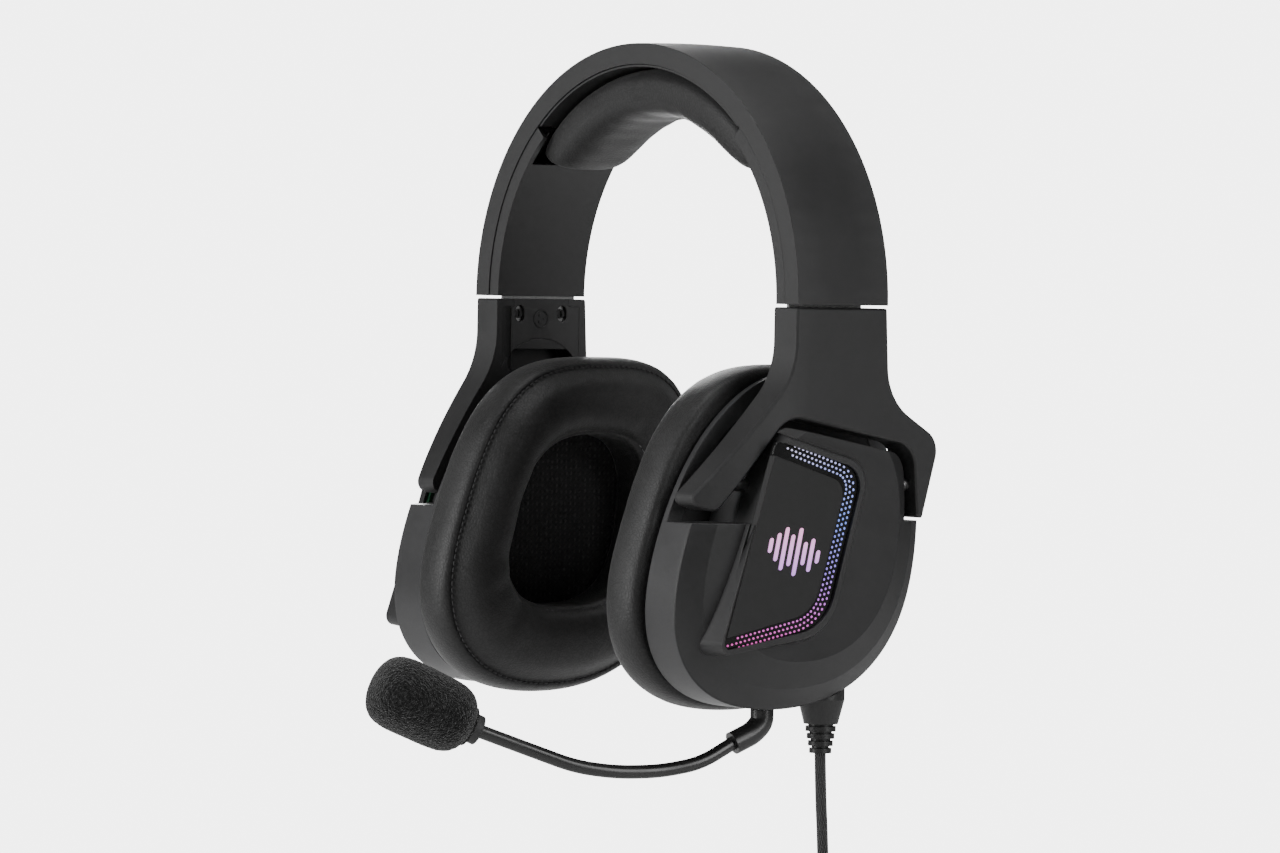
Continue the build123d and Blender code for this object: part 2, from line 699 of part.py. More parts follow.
# ---- microphone: socket, jack, elbow, gooseneck, collar, capsule and foam -------------------
socket_mouth = cup_bottom + 0.3
socket_depth = 15.0
with BuildPart() as mic_socket:
    with BuildSketch(Plane.XY.offset(socket_mouth)):
        with Locations(mic_place):
            Circle(socket_radius)
            Circle(jack_radius + pin_clearance, mode=Mode.SUBTRACT)
    extrude(amount=socket_depth)
save(mic_socket, "mic_socket")

elbow_top = cup_bottom - 0.5
with BuildPart() as mic_jack:
    with BuildSketch(Plane.XY.offset(elbow_top)):
        with Locations(mic_place):
            Circle(jack_radius)
    extrude(amount=jack_length)
save(mic_jack, "mic_jack")

# The boom's middle line: down out of the cup, forward, and up to the foam, bending inwards.
elbow_line = [(exit_outset, mic_exit, elbow_top), (exit_outset, mic_exit, cup_bottom - 4.5),
              (62.4, -18.2, -188.2), (61.0, -24.8, -191.2)]
boom_line = [(61.0, -24.8, -191.2), (59.6, -36.0, -197.0), (57.8, -50.5, -199.2), (54.5, -65.0, -199.2),
             (50.5, -77.5, -197.4), (45.0, -91.0, -192.2), (39.0, -106.0, -186.4)]
foam_axis = (Vector(30.2, -131.0, -174.6) - Vector(*boom_line[-1])).normalized()


def tube(points, radius, corner_radius=None):
    """Round tube along straight runs joined by tangent arcs as large as the runs allow."""
    spots = [Vector(*p) for p in points]
    runs = [b - a for a, b in zip(spots, spots[1:])]
    turns = [radians(a.get_angle(b)) for a, b in zip(runs, runs[1:])]
    radii = [0.45 * min(a.length, b.length) * cos(t / 2) / sin(t / 2)
             for a, b, t in zip(runs, runs[1:], turns)]
    with BuildPart() as body:
        with BuildLine() as path:
            FilletPolyline(*points, radius=radii)
        with BuildSketch(path.line ^ 0):
            Circle(radius)
        sweep(path=path.line)
    length = sum(edge.length for edge in path.edges())
    print("tube", round(length, 1), "long, bends", [round(r, 1) for r in radii],
          "volume share", round(body.part.volume / (pi * radius**2 * length), 4))
    return body


save(tube(elbow_line, elbow_radius), "mic_elbow")
save(tube(boom_line, neck_radius), "mic_gooseneck")

collar_plane = Plane(origin=boom_line[-1], z_dir=foam_axis)
collar_length = 5.0
collar_radius = 4.6
with BuildPart() as mic_collar:
    with BuildSketch(collar_plane):
        Circle(collar_radius)
    extrude(amount=collar_length)
save(mic_collar, "mic_collar")

capsule_length = 14.0
capsule_radius = 4.4
foam_overlap = 2.0              # of the foam over the collar
foam_corner = 4.0
with BuildPart() as mic_capsule:
    with BuildSketch(collar_plane.offset(collar_length)):
        Circle(capsule_radius)
    extrude(amount=capsule_length)
save(mic_capsule, "mic_capsule")

foam_start = collar_length - foam_overlap
with BuildPart() as mic_windscreen:
    with BuildSketch(collar_plane.offset(foam_start)):
        Circle(foam_radius)
    extrude(amount=foam_length)
    fillet(mic_windscreen.edges().filter_by(GeomType.CIRCLE), radius=foam_corner)
    with BuildSketch(collar_plane.offset(foam_start)):
        Circle(collar_radius + seat_gap)
    extrude(amount=foam_overlap, mode=Mode.SUBTRACT)
    with BuildSketch(collar_plane.offset(collar_length)):
        Circle(capsule_radius + seat_gap)
    extrude(amount=capsule_length + 2 * seat_gap, mode=Mode.SUBTRACT)
save(mic_windscreen, "mic_windscreen")

# ---- cord: strain relief, lead, hanging coil, tie, tail and plug -------------------------------
relief_top = -172.0             # inside the cup
relief_shoulder = -174.0
relief_drop = -178.5            # the straight upper part ends here
relief_ribs = -186.0            # and the tapered part here, where the ribs begin
relief_waist = 5.3
core_length = 8.0               # of the part inside the cup
rib_count = 4
rib_pitch = 2.25
rib_gap = 0.75                  # groove between ribs
rib_radius = 4.7                # of the first rib
rib_taper = 0.42                # each rib is this much smaller than the one above
groove_depth = 0.8
with BuildPart() as strain_relief:
    with BuildSketch(Plane(origin=(*cord_place, 0), x_dir=(1, 0, 0), z_dir=(0, -1, 0))):
        with BuildLine():
            steps = [(0, relief_top), (relief_neck, relief_top), (relief_neck, relief_shoulder),
                     (relief_radius, relief_shoulder), (relief_radius, relief_drop),
                     (relief_waist, relief_ribs)]
            for k in range(rib_count):
                top = relief_ribs - rib_pitch * k
                size = rib_radius - rib_taper * k
                steps += [(size - groove_depth, top), (size - groove_depth, top - rib_gap),
                          (size, top - rib_gap), (size, top - rib_pitch)]
            steps += [(0, steps[-1][1])]
            Polyline(*steps, close=True)
        make_face()
    revolve(axis=Axis((*cord_place, 0), (0, 0, 1)))
    extrude(standing(plain_oval(seat_gap), cushion_back), amount=recess_reach, mode=Mode.SUBTRACT)
    with BuildSketch(Plane.XY.offset(relief_top)):
        with Locations(cord_place):
            Circle(relief_neck)
    extrude(amount=-core_length)
save(strain_relief, "strain_relief")

lead_line = [(63.0, 8.7, -195.0), (63.0, 9.2, -207.5), (63.0, 10.4, -222.0), (63.0, 11.0, -237.0),
             (63.4, 9.4, -248.5), (65.6, 3.4, -256.5), (66.5, 2.2, -264.5)]
save(tube(lead_line, cord_diameter / 2), "cord_lead")

with BuildPart() as cord_coil:
    with BuildSketch(Plane(origin=coil_centre, x_dir=(0, 1, 0), z_dir=(0, 0, 1))) as coil_section:
        with Locations(((coil_inner + coil_outer) / 2, 0)):
            RectangleRounded(coil_outer - coil_inner, 2 * coil_half_width, coil_corner)
    revolve(axis=Axis(coil_centre, (1, 0, 0)))
save(cord_coil, "cord_coil")

tie_low = coil_centre[2] + coil_inner - tie_thickness - tie_slack
tie_high = coil_centre[2] + coil_outer + tie_thickness + tie_slack
tie_left = lead_line[3][0] - cord_diameter / 2 - tie_thickness - tie_slack
tie_right = coil_centre[0] + coil_half_width + tie_thickness + tie_slack
with BuildPart() as cord_tie:
    with BuildSketch(Plane.XZ.offset(tie_shift - coil_centre[1] - tie_width / 2)):
        with Locations(((tie_left + tie_right) / 2, (tie_low + tie_high) / 2)):
            RectangleRounded(tie_right - tie_left, tie_high - tie_low, tie_corner)
            RectangleRounded(tie_right - tie_left - 2 * tie_thickness, tie_high - tie_low - 2 * tie_thickness,
                             tie_corner - tie_thickness, mode=Mode.SUBTRACT)
    extrude(amount=tie_width)
save(cord_tie, "cord_tie")

tail_line = [(70.1, -9.2, -264.0), (70.3, -9.6, -276.0), (69.8, -9.4, -288.0), (69.6, -9.0, -300.0)]
save(tube(tail_line, cord_diameter / 2), "cord_tail")

plug_body_size = (16.0, 8.4, 26.0)
plug_corner = 2.4
plug_shell_size = (12.0, 4.5, 12.0)
contact_shift = 0.9             # the contact block fills one side of the shell
contact_thickness = 1.8
contact_margin = 0.1
with BuildPart() as usb_plug_body:
    with BuildSketch(Plane.XY.offset(tail_line[-1][2])):
        with Locations(tail_line[-1][:2]):
            RectangleRounded(plug_body_size[1], plug_body_size[0], plug_corner)
    extrude(amount=-plug_body_size[2])
save(usb_plug_body, "usb_plug_body")

shell_wall = 0.4
with BuildPart() as usb_plug_shell:
    with BuildSketch(Plane.XY.offset(tail_line[-1][2] - plug_body_size[2])):
        with Locations(tail_line[-1][:2]):
            Rectangle(plug_shell_size[1], plug_shell_size[0])
            Rectangle(plug_shell_size[1] - 2 * shell_wall, plug_shell_size[0] - 2 * shell_wall,
                      mode=Mode.SUBTRACT)
            with Locations((contact_shift, 0)):
                Rectangle(contact_thickness, plug_shell_size[0] - 2 * (shell_wall + contact_margin))
    extrude(amount=-plug_shell_size[2])
save(usb_plug_shell, "usb_plug_shell")
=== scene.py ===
import bpy
import bmesh
import math
import random
from mathutils import Vector, Matrix, noise


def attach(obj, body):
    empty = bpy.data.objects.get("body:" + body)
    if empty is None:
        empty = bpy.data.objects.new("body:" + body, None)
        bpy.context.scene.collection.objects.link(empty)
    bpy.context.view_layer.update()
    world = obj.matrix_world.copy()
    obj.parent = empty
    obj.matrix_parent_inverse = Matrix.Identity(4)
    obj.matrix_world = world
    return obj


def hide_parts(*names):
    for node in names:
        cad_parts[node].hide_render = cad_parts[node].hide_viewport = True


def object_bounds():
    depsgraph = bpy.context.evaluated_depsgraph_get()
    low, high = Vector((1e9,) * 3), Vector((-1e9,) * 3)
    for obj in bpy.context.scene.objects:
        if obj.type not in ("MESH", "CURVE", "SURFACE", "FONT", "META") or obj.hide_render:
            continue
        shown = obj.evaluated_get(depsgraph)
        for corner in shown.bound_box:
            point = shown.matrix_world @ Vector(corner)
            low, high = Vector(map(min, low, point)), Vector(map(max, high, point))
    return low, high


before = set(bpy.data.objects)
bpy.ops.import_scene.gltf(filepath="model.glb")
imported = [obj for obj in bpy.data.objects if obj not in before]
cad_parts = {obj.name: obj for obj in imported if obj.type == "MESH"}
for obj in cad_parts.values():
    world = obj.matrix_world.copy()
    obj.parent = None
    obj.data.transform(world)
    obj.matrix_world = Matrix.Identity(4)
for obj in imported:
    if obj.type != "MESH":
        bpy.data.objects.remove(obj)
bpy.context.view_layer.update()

# Wired gaming headset. +Z up, the wearer faces -Y, +X is the wearer's left.
mm = 0.001
random.seed(11)
scene = bpy.context.scene
sides = {"left": 1, "right": -1}

# ---------------------------------------------------------------- camera
camera = {
    "azimuth": 51.0,
    "elevation": 1.53,
    "roll": 1.1,
    "distance": 2.2,
    "aim": (-0.0069, -0.0085, -0.0968),   # point on the view's axis
    "lens": 197.3,
}


def makeCamera():
    a, e, r = (math.radians(camera[k]) for k in ("azimuth", "elevation", "roll"))
    back = Vector((math.sin(a) * math.cos(e), -math.cos(a) * math.cos(e), math.sin(e)))
    right = Vector((math.cos(a), math.sin(a), 0))
    up = back.cross(right)
    rightRolled = math.cos(r) * right + math.sin(r) * up
    upRolled = math.cos(r) * up - math.sin(r) * right
    data = bpy.data.cameras.new("camera")
    data.lens = camera["lens"]
    data.sensor_width = 36
    data.clip_start, data.clip_end = 0.05, 50
    cam = bpy.data.objects.new("camera", data)
    turn = Matrix((rightRolled, upRolled, back)).transposed().to_4x4()
    turn.translation = Vector(camera["aim"]) + back * camera["distance"]
    cam.matrix_world = turn
    scene.collection.objects.link(cam)
    scene.camera = cam


makeCamera()
print("camera set")


# ---------------------------------------------------------------- node helpers
def newMaterial(name):
    mat = bpy.data.materials.new(name)
    mat.use_nodes = True
    return mat, mat.node_tree.nodes, mat.node_tree.links, mat.node_tree.nodes["Principled BSDF"]


def colour(level, tint=(1, 1, 1)):
    return (level * tint[0], level * tint[1], level * tint[2], 1)


def addNode(nodes, kind, **inputs):
    node = nodes.new(kind)
    for key, value in inputs.items():
        node.inputs[key.replace("_", " ")].default_value = value
    return node


def objectCoords(nodes):
    return nodes.new("ShaderNodeTexCoord").outputs["Object"]


def ramp(nodes, links, source, stops):
    node = nodes.new("ShaderNodeValToRGB")
    elements = node.color_ramp.elements
    while len(elements) < len(stops):
        elements.new(0.5)
    for element, (place, value) in zip(elements, stops):
        element.position = place
        element.color = value if len(value) == 4 else (*value, 1)
    links.new(source, node.inputs["Fac"])
    return node.outputs["Color"]


def bump(nodes, links, height, distance, strength=1.0, under=None):
    node = addNode(nodes, "ShaderNodeBump", Strength=strength, Distance=distance)
    links.new(height, node.inputs["Height"])
    if under is not None:
        links.new(under, node.inputs["Normal"])
    return node.outputs["Normal"]


def softEdge(nodes, radius):
    # A little roundness on the moulded edges.
    node = nodes.new("ShaderNodeBevel")
    node.samples = 6
    node.inputs["Radius"].default_value = radius
    return node.outputs["Normal"]


def moulded(name, level, rough, grain=0.00004, grainScale=5200, tint=(1, 1, 1.03), edge=0.0005, wear=0.25,
            coat=0.0, specular=0.5):
    # Injection-moulded plastic: fine spark-eroded grain, faint handling marks, paler worn edges.
    mat, nodes, links, shader = newMaterial(name)
    coords = objectCoords(nodes)
    fine = addNode(nodes, "ShaderNodeTexNoise", Scale=grainScale, Detail=2.0, Roughness=0.7)
    broad = addNode(nodes, "ShaderNodeTexNoise", Scale=38.0, Detail=5.0, Roughness=0.62)
    for node in (fine, broad):
        links.new(coords, node.inputs["Vector"])
    base = ramp(nodes, links, broad.outputs["Fac"],
                [(0.3, colour(level * 0.86, tint)), (0.72, colour(level * 1.12, tint))])
    speck = ramp(nodes, links, fine.outputs["Fac"], [(0.35, colour(0.86)), (0.68, colour(1.18))])
    mix = nodes.new("ShaderNodeMix")
    mix.data_type = "RGBA"
    mix.blend_type = "MULTIPLY"
    mix.inputs["Factor"].default_value = 1.0
    links.new(base, mix.inputs["A"])
    links.new(speck, mix.inputs["B"])
    worn = nodes.new("ShaderNodeNewGeometry")
    edgeMask = ramp(nodes, links, worn.outputs["Pointiness"], [(0.52, (0, 0, 0)), (0.60, (wear, wear, wear))])
    worked = nodes.new("ShaderNodeMix")
    worked.data_type = "RGBA"
    links.new(edgeMask, worked.inputs["Factor"])
    links.new(mix.outputs["Result"], worked.inputs["A"])
    worked.inputs["B"].default_value = colour(level * 2.4 + 0.02)
    links.new(worked.outputs["Result"], shader.inputs["Base Color"])
    roughness = ramp(nodes, links, broad.outputs["Fac"],
                     [(0.3, colour(rough - 0.05)), (0.7, colour(rough + 0.06))])
    links.new(roughness, shader.inputs["Roughness"])
    links.new(bump(nodes, links, fine.outputs["Fac"], grain, 0.8, softEdge(nodes, edge)),
              shader.inputs["Normal"])
    shader.inputs["Specular IOR Level"].default_value = specular
    if coat:
        shader.inputs["Coat Weight"].default_value = coat
        shader.inputs["Coat Roughness"].default_value = 0.12
    return mat


def leather(name, level, rough=0.46, poreScale=900):
    # Leatherette: pebbled grain with creases, a soft sheen and slight colour variation.
    mat, nodes, links, shader = newMaterial(name)
    coords = objectCoords(nodes)
    warp = addNode(nodes, "ShaderNodeTexNoise", Scale=260.0, Detail=3.0)
    links.new(coords, warp.inputs["Vector"])
    shift = nodes.new("ShaderNodeMixRGB")
    shift.blend_type = "LINEAR_LIGHT"
    shift.inputs["Fac"].default_value = 0.0012
    links.new(coords, shift.inputs["Color1"])
    links.new(warp.outputs["Color"], shift.inputs["Color2"])
    pebble = addNode(nodes, "ShaderNodeTexVoronoi", Scale=poreScale)
    pebble.feature = "DISTANCE_TO_EDGE"
    links.new(shift.outputs["Color"], pebble.inputs["Vector"])
    grain = ramp(nodes, links, pebble.outputs["Distance"],
                 [(0.0, (0, 0, 0)), (0.16, (0.8, 0.8, 0.8)), (0.5, (1, 1, 1))])
    broad = addNode(nodes, "ShaderNodeTexNoise", Scale=55.0, Detail=4.0)
    links.new(coords, broad.inputs["Vector"])
    base = ramp(nodes, links, broad.outputs["Fac"], [(0.3, colour(level * 0.8)), (0.7, colour(level * 1.15))])
    creases = nodes.new("ShaderNodeMix")
    creases.data_type = "RGBA"
    creases.blend_type = "MULTIPLY"
    creases.inputs["Factor"].default_value = 0.45
    links.new(base, creases.inputs["A"])
    links.new(grain, creases.inputs["B"])
    links.new(creases.outputs["Result"], shader.inputs["Base Color"])
    links.new(ramp(nodes, links, broad.outputs["Fac"],
                   [(0.3, colour(rough - 0.05)), (0.7, colour(rough + 0.07))]),
              shader.inputs["Roughness"])
    wrinkle = addNode(nodes, "ShaderNodeTexNoise", Scale=170.0, Detail=4.0, Roughness=0.6)
    links.new(coords, wrinkle.inputs["Vector"])
    soft = bump(nodes, links, wrinkle.outputs["Fac"], 0.00035, 0.35)
    links.new(bump(nodes, links, grain, 0.00007, 0.7, soft), shader.inputs["Normal"])
    shader.inputs["Specular IOR Level"].default_value = 0.42
    shader.inputs["Sheen Weight"].default_value = 0.12
    shader.inputs["Sheen Roughness"].default_value = 0.5
    return mat


def foam(name, level):
    # Open-cell foam: small round pores, dusty and matt.
    mat, nodes, links, shader = newMaterial(name)
    coords = objectCoords(nodes)
    cells = addNode(nodes, "ShaderNodeTexVoronoi", Scale=1500.0, Randomness=1.0)
    links.new(coords, cells.inputs["Vector"])
    big = addNode(nodes, "ShaderNodeTexNoise", Scale=1000.0, Detail=3.0)
    links.new(coords, big.inputs["Vector"])
    pores = ramp(nodes, links, cells.outputs["Distance"], [(0.1, (1, 1, 1)), (0.65, (0, 0, 0))])
    tone = ramp(nodes, links, big.outputs["Fac"],
                [(0.36, colour(level * 0.25)), (0.55, colour(level)), (0.68, colour(level * 3.2))])
    links.new(tone, shader.inputs["Base Color"])
    shader.inputs["Roughness"].default_value = 0.95
    shader.inputs["Specular IOR Level"].default_value = 0.15
    shader.inputs["Sheen Weight"].default_value = 0.25
    links.new(bump(nodes, links, pores, 0.0005, 0.9, bump(nodes, links, big.outputs["Fac"], 0.0006, 0.8)),
              shader.inputs["Normal"])
    return mat


def clothMesh(name, level, scale=520):
    # Fine knitted speaker cloth over foam.
    mat, nodes, links, shader = newMaterial(name)
    coords = objectCoords(nodes)
    holes = addNode(nodes, "ShaderNodeTexVoronoi", Scale=scale, Randomness=0.15)
    holes.voronoi_dimensions = "3D"
    links.new(coords, holes.inputs["Vector"])
    fuzz = addNode(nodes, "ShaderNodeTexNoise", Scale=1400.0, Detail=2.0)
    links.new(coords, fuzz.inputs["Vector"])
    net = ramp(nodes, links, holes.outputs["Distance"], [(0.25, (1, 1, 1)), (0.5, (0.1, 0.1, 0.1))])
    tone = ramp(nodes, links, fuzz.outputs["Fac"], [(0.4, colour(level * 0.5)), (0.66, colour(level * 2.4))])
    mix = nodes.new("ShaderNodeMix")
    mix.data_type = "RGBA"
    mix.blend_type = "MULTIPLY"
    mix.inputs["Factor"].default_value = 0.8
    links.new(tone, mix.inputs["A"])
    links.new(net, mix.inputs["B"])
    links.new(mix.outputs["Result"], shader.inputs["Base Color"])
    shader.inputs["Roughness"].default_value = 0.9
    shader.inputs["Sheen Weight"].default_value = 0.3
    links.new(bump(nodes, links, net, 0.00035, 0.8), shader.inputs["Normal"])
    return mat


def rubberLike(name, level, rough=0.38, coat=0.15):
    mat, nodes, links, shader = newMaterial(name)
    coords = objectCoords(nodes)
    broad = addNode(nodes, "ShaderNodeTexNoise", Scale=90.0, Detail=4.0)
    fine = addNode(nodes, "ShaderNodeTexNoise", Scale=2600.0, Detail=2.0)
    for node in (broad, fine):
        links.new(coords, node.inputs["Vector"])
    links.new(ramp(nodes, links, broad.outputs["Fac"],
                   [(0.3, colour(level * 0.8)), (0.7, colour(level * 1.2))]),
              shader.inputs["Base Color"])
    links.new(ramp(nodes, links, broad.outputs["Fac"],
                   [(0.3, colour(rough - 0.06)), (0.7, colour(rough + 0.08))]),
              shader.inputs["Roughness"])
    links.new(bump(nodes, links, fine.outputs["Fac"], 0.00003, 0.5, softEdge(nodes, 0.0003)),
              shader.inputs["Normal"])
    shader.inputs["Coat Weight"].default_value = coat
    shader.inputs["Coat Roughness"].default_value = 0.25
    return mat


def metal(name, tone, rough, streaks=0.0001):
    mat, nodes, links, shader = newMaterial(name)
    mapping = addNode(nodes, "ShaderNodeMapping", Scale=(400.0, 400.0, 30.0))
    links.new(objectCoords(nodes), mapping.inputs["Vector"])
    lines = addNode(nodes, "ShaderNodeTexNoise", Scale=6.0, Detail=4.0)
    links.new(mapping.outputs["Vector"], lines.inputs["Vector"])
    links.new(ramp(nodes, links, lines.outputs["Fac"], [(0.3, colour(tone * 0.85)), (0.7, colour(tone))]),
              shader.inputs["Base Color"])
    links.new(ramp(nodes, links, lines.outputs["Fac"],
                   [(0.3, colour(rough - 0.06)), (0.7, colour(rough + 0.08))]),
              shader.inputs["Roughness"])
    shader.inputs["Metallic"].default_value = 1.0
    links.new(bump(nodes, links, lines.outputs["Fac"], streaks * 0.3, 0.4, softEdge(nodes, 0.0002)),
              shader.inputs["Normal"])
    return mat


def braidSleeve(name, level):
    # Woven sleeve: crossed strands along the cord, from the cord's own UV.
    mat, nodes, links, shader = newMaterial(name)
    uv = nodes.new("ShaderNodeTexCoord").outputs["UV"]
    split = nodes.new("ShaderNodeSeparateXYZ")
    links.new(uv, split.inputs["Vector"])

    def calc(kind, a, b=None):
        node = nodes.new("ShaderNodeMath")
        node.operation = kind
        for slotIndex, value in enumerate((a, b)):
            if value is None:
                continue
            if isinstance(value, (int, float)):
                node.inputs[slotIndex].default_value = value
            else:
                links.new(value, node.inputs[slotIndex])
        return node.outputs[0]

    along = calc("MULTIPLY", split.outputs["X"], 2.06 / 0.0017 * math.pi)
    around = calc("MULTIPLY", split.outputs["Y"], 16 * math.pi)
    left = calc("ABSOLUTE", calc("SINE", calc("ADD", along, around)))
    right = calc("ABSOLUTE", calc("SINE", calc("SUBTRACT", along, around)))
    weave = calc("MULTIPLY", left, right)
    links.new(ramp(nodes, links, weave, [(0.05, colour(level * 0.25)), (0.6, colour(level * 1.5))]),
              shader.inputs["Base Color"])
    shader.inputs["Roughness"].default_value = 0.7
    shader.inputs["Sheen Weight"].default_value = 0.3
    links.new(bump(nodes, links, weave, 0.00045, 0.9), shader.inputs["Normal"])
    return mat


def boardGreen(name):
    mat, nodes, links, shader = newMaterial(name)
    cells = addNode(nodes, "ShaderNodeTexVoronoi", Scale=300.0)
    links.new(objectCoords(nodes), cells.inputs["Vector"])
    links.new(ramp(nodes, links, cells.outputs["Distance"],
                   [(0.3, (0.004, 0.03, 0.012)), (0.5, (0.008, 0.06, 0.025))]),
              shader.inputs["Base Color"])
    shader.inputs["Roughness"].default_value = 0.35
    return mat


def glow(name, stops, low, high, strength, axis="Z"):
    # Light that changes colour with height, as a diffused strip does.
    mat, nodes, links, shader = newMaterial(name)
    split = nodes.new("ShaderNodeSeparateXYZ")
    links.new(objectCoords(nodes), split.inputs["Vector"])
    place = nodes.new("ShaderNodeMapRange")
    place.inputs["From Min"].default_value = low
    place.inputs["From Max"].default_value = high
    links.new(split.outputs[axis], place.inputs["Value"])
    tint = ramp(nodes, links, place.outputs["Result"], stops)
    links.new(tint, shader.inputs["Base Color"])
    links.new(tint, shader.inputs["Emission Color"])
    shader.inputs["Emission Strength"].default_value = strength
    shader.inputs["Roughness"].default_value = 0.4
    return mat


softPlastic = moulded("soft plastic", 0.018, 0.50)
liningPlastic = moulded("liner plastic", 0.020, 0.46, edge=0.0004)
ringPlastic = moulded("satin ring plastic", 0.045, 0.40, grain=0.00003, wear=0.15)
housingPlastic = moulded("housing plastic", 0.020, 0.44, grain=0.00003)
panelPlastic = moulded("panel plastic", 0.024, 0.42, grain=0.00003)
platePlastic = moulded("emblem plate plastic", 0.008, 0.55, wear=0.1)
darkPlastic = moulded("inner plastic", 0.010, 0.55)
glossPlastic = moulded("gloss plastic", 0.010, 0.16, grain=0.00001, coat=0.3)
cushionLeather = leather("cushion leatherette", 0.020)
padLeather = leather("pad leatherette", 0.018, rough=0.5)
threadBlack = moulded("thread", 0.03, 0.8, grainScale=9000, edge=0.0001)
threadGrey = moulded("hole thread", 0.11, 0.7, grainScale=9000, edge=0.0001)
foamBlack = foam("windscreen foam", 0.014)
speakerCloth = clothMesh("speaker cloth", 0.010)
boomRubber = rubberLike("boom rubber", 0.010, 0.30, 0.4)
reliefRubber = rubberLike("relief rubber", 0.016, 0.42, 0.1)
controlRubber = rubberLike("control rubber", 0.02, 0.5, 0.0)
springSteel = metal("spring steel", 0.42, 0.34)
brightSteel = metal("plated steel", 0.78, 0.14)
darkSteel = metal("black screw steel", 0.06, 0.35)
cordBraid = braidSleeve("cord braid", 0.03)
strapCloth = clothMesh("strap cloth", 0.02, 900)
board = boardGreen("circuit board")
lightSkin = moulded("light strip skin", 0.006, 0.25, grain=0.00001, coat=0.3, wear=0.0)
stripStops = [(0.0, (0.85, 0.10, 0.45)), (0.16, (0.75, 0.16, 0.75)), (0.36, (0.38, 0.25, 0.95)),
              (0.62, (0.22, 0.35, 1.0)), (0.86, (0.45, 0.50, 1.0)), (1.0, (0.85, 0.80, 0.98))]
stripGlow = glow("strip glow", stripStops, -0.162, -0.098, 0.75)
emblemGlow = glow("emblem glow",
                  [(0.0, (0.55, 0.28, 0.85)), (0.55, (0.85, 0.40, 0.85)), (1.0, (0.98, 0.42, 0.72))],
                  -0.140, -0.123, 1.0)
print("materials made")

finishes = {
    "headband_shell": softPlastic, "headband_spring": springSteel, "link_cable": boomRubber,
    "headband_pad_base": liningPlastic, "arm_liner": liningPlastic, "slider_tongue": springSteel,
    "yoke": softPlastic, "yoke_cover": liningPlastic, "yoke_screws": darkSteel, "pivot_pins": springSteel,
    "bezel_ring": ringPlastic, "housing": housingPlastic, "trim_panel": panelPlastic,
    "emblem_plate": platePlastic, "led_board": board, "light_guide": lightSkin, "baffle": darkPlastic,
    "driver": springSteel, "cup_screws": darkSteel, "cushion_plate": darkPlastic, "ear_cloth": speakerCloth,
    "control_board": board, "mic_socket": glossPlastic, "volume_pot": darkPlastic,
    "strain_relief": reliefRubber, "volume_wheel": controlRubber, "mute_button": controlRubber,
    "mic_jack": brightSteel, "mic_elbow": boomRubber, "mic_gooseneck": boomRubber, "mic_collar": softPlastic,
    "mic_capsule": brightSteel, "cord_tie": strapCloth, "usb_plug_body": reliefRubber,
    "usb_plug_shell": brightSteel,
}


def finishNodes():
    for name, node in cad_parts.items():
        plain = name.replace("left_", "").replace("right_", "")
        if plain in finishes:
            node.data.materials.clear()
            node.data.materials.append(finishes[plain])
            for face in node.data.polygons:
                face.material_index = 0


finishNodes()


# ---------------------------------------------------------------- meshes
def meshPiece(name, points, faces, material, smooth=True):
    data = bpy.data.meshes.new(name)
    data.from_pydata([tuple(p) for p in points], [], faces)
    data.update()
    work = bmesh.new()
    work.from_mesh(data)
    bmesh.ops.recalc_face_normals(work, faces=work.faces)
    work.to_mesh(data)
    work.free()
    for face in data.polygons:
        face.use_smooth = smooth
    data.materials.append(material)
    piece = bpy.data.objects.new(name, data)
    scene.collection.objects.link(piece)
    return piece


def gridFaces(rows, columns, closedRows=False, closedColumns=True):
    # Quads over a grid of points stored row by row.
    faces = []
    for i in range(rows if closedRows else rows - 1):
        for j in range(columns if closedColumns else columns - 1):
            a, b = i * columns + j, i * columns + (j + 1) % columns
            c, d = ((i + 1) % rows) * columns + (j + 1) % columns, ((i + 1) % rows) * columns + j
            faces.append((a, b, c, d))
    return faces


def subdivided(piece, levels=1):
    modifier = piece.modifiers.new("smooth", "SUBSURF")
    modifier.levels = modifier.render_levels = levels
    return piece


# ---------------------------------------------------------------- cord
cord = {
    "diameter": 0.0035,
    "length": 2.06,
    "lead": [(63.0, 8.7, -195.0), (63.0, 9.2, -207.5), (63.0, 10.4, -222.0), (63.0, 11.0, -237.0),
             (63.4, 9.4, -248.5), (65.6, 3.4, -256.5)],
    "tail": [(70.3, -9.6, -276.0), (69.8, -9.4, -288.0), (69.6, -9.0, -300.0)],
    "coilCentre": (71.8, 17.0, -264.0),
    "firstRadius": 15.75,       # middle of the innermost turns
    "layers": [4, 4, 4, 3],     # turns in each layer, from the inside out
    "pointsPerTurn": 16,
}


def cordPoints():
    points = list(cord["lead"])
    step = cord["diameter"] / mm
    offsets = [(k - 1.5) * step for k in range(4)]
    turns = []
    for layer, count in enumerate(cord["layers"]):
        order = offsets if layer % 2 == 0 else offsets[::-1]
        turns += [(cord["firstRadius"] + layer * step, order[k]) for k in range(count)]
    perTurn = cord["pointsPerTurn"]
    outside = 1 / math.cos(math.pi / perTurn)      # control points stand a little outside the turn
    x, y, z = cord["coilCentre"]
    for index, (radius, offset) in enumerate(turns):
        following = turns[min(index + 1, len(turns) - 1)]
        for k in range(perTurn):
            part = k / perTurn
            ease = max(0.0, (part - 0.5) / 0.5)
            ease = ease * ease * (3 - 2 * ease)
            r = (radius + (following[0] - radius) * ease) * outside
            turn = math.pi + 2 * math.pi * part
            points.append((x + offset + (following[1] - offset) * ease, y + r * math.cos(turn),
                           z + r * math.sin(turn)))
    points.append((x + turns[-1][1], y - turns[-1][0] * outside, z - 1.0))
    return points + list(cord["tail"])


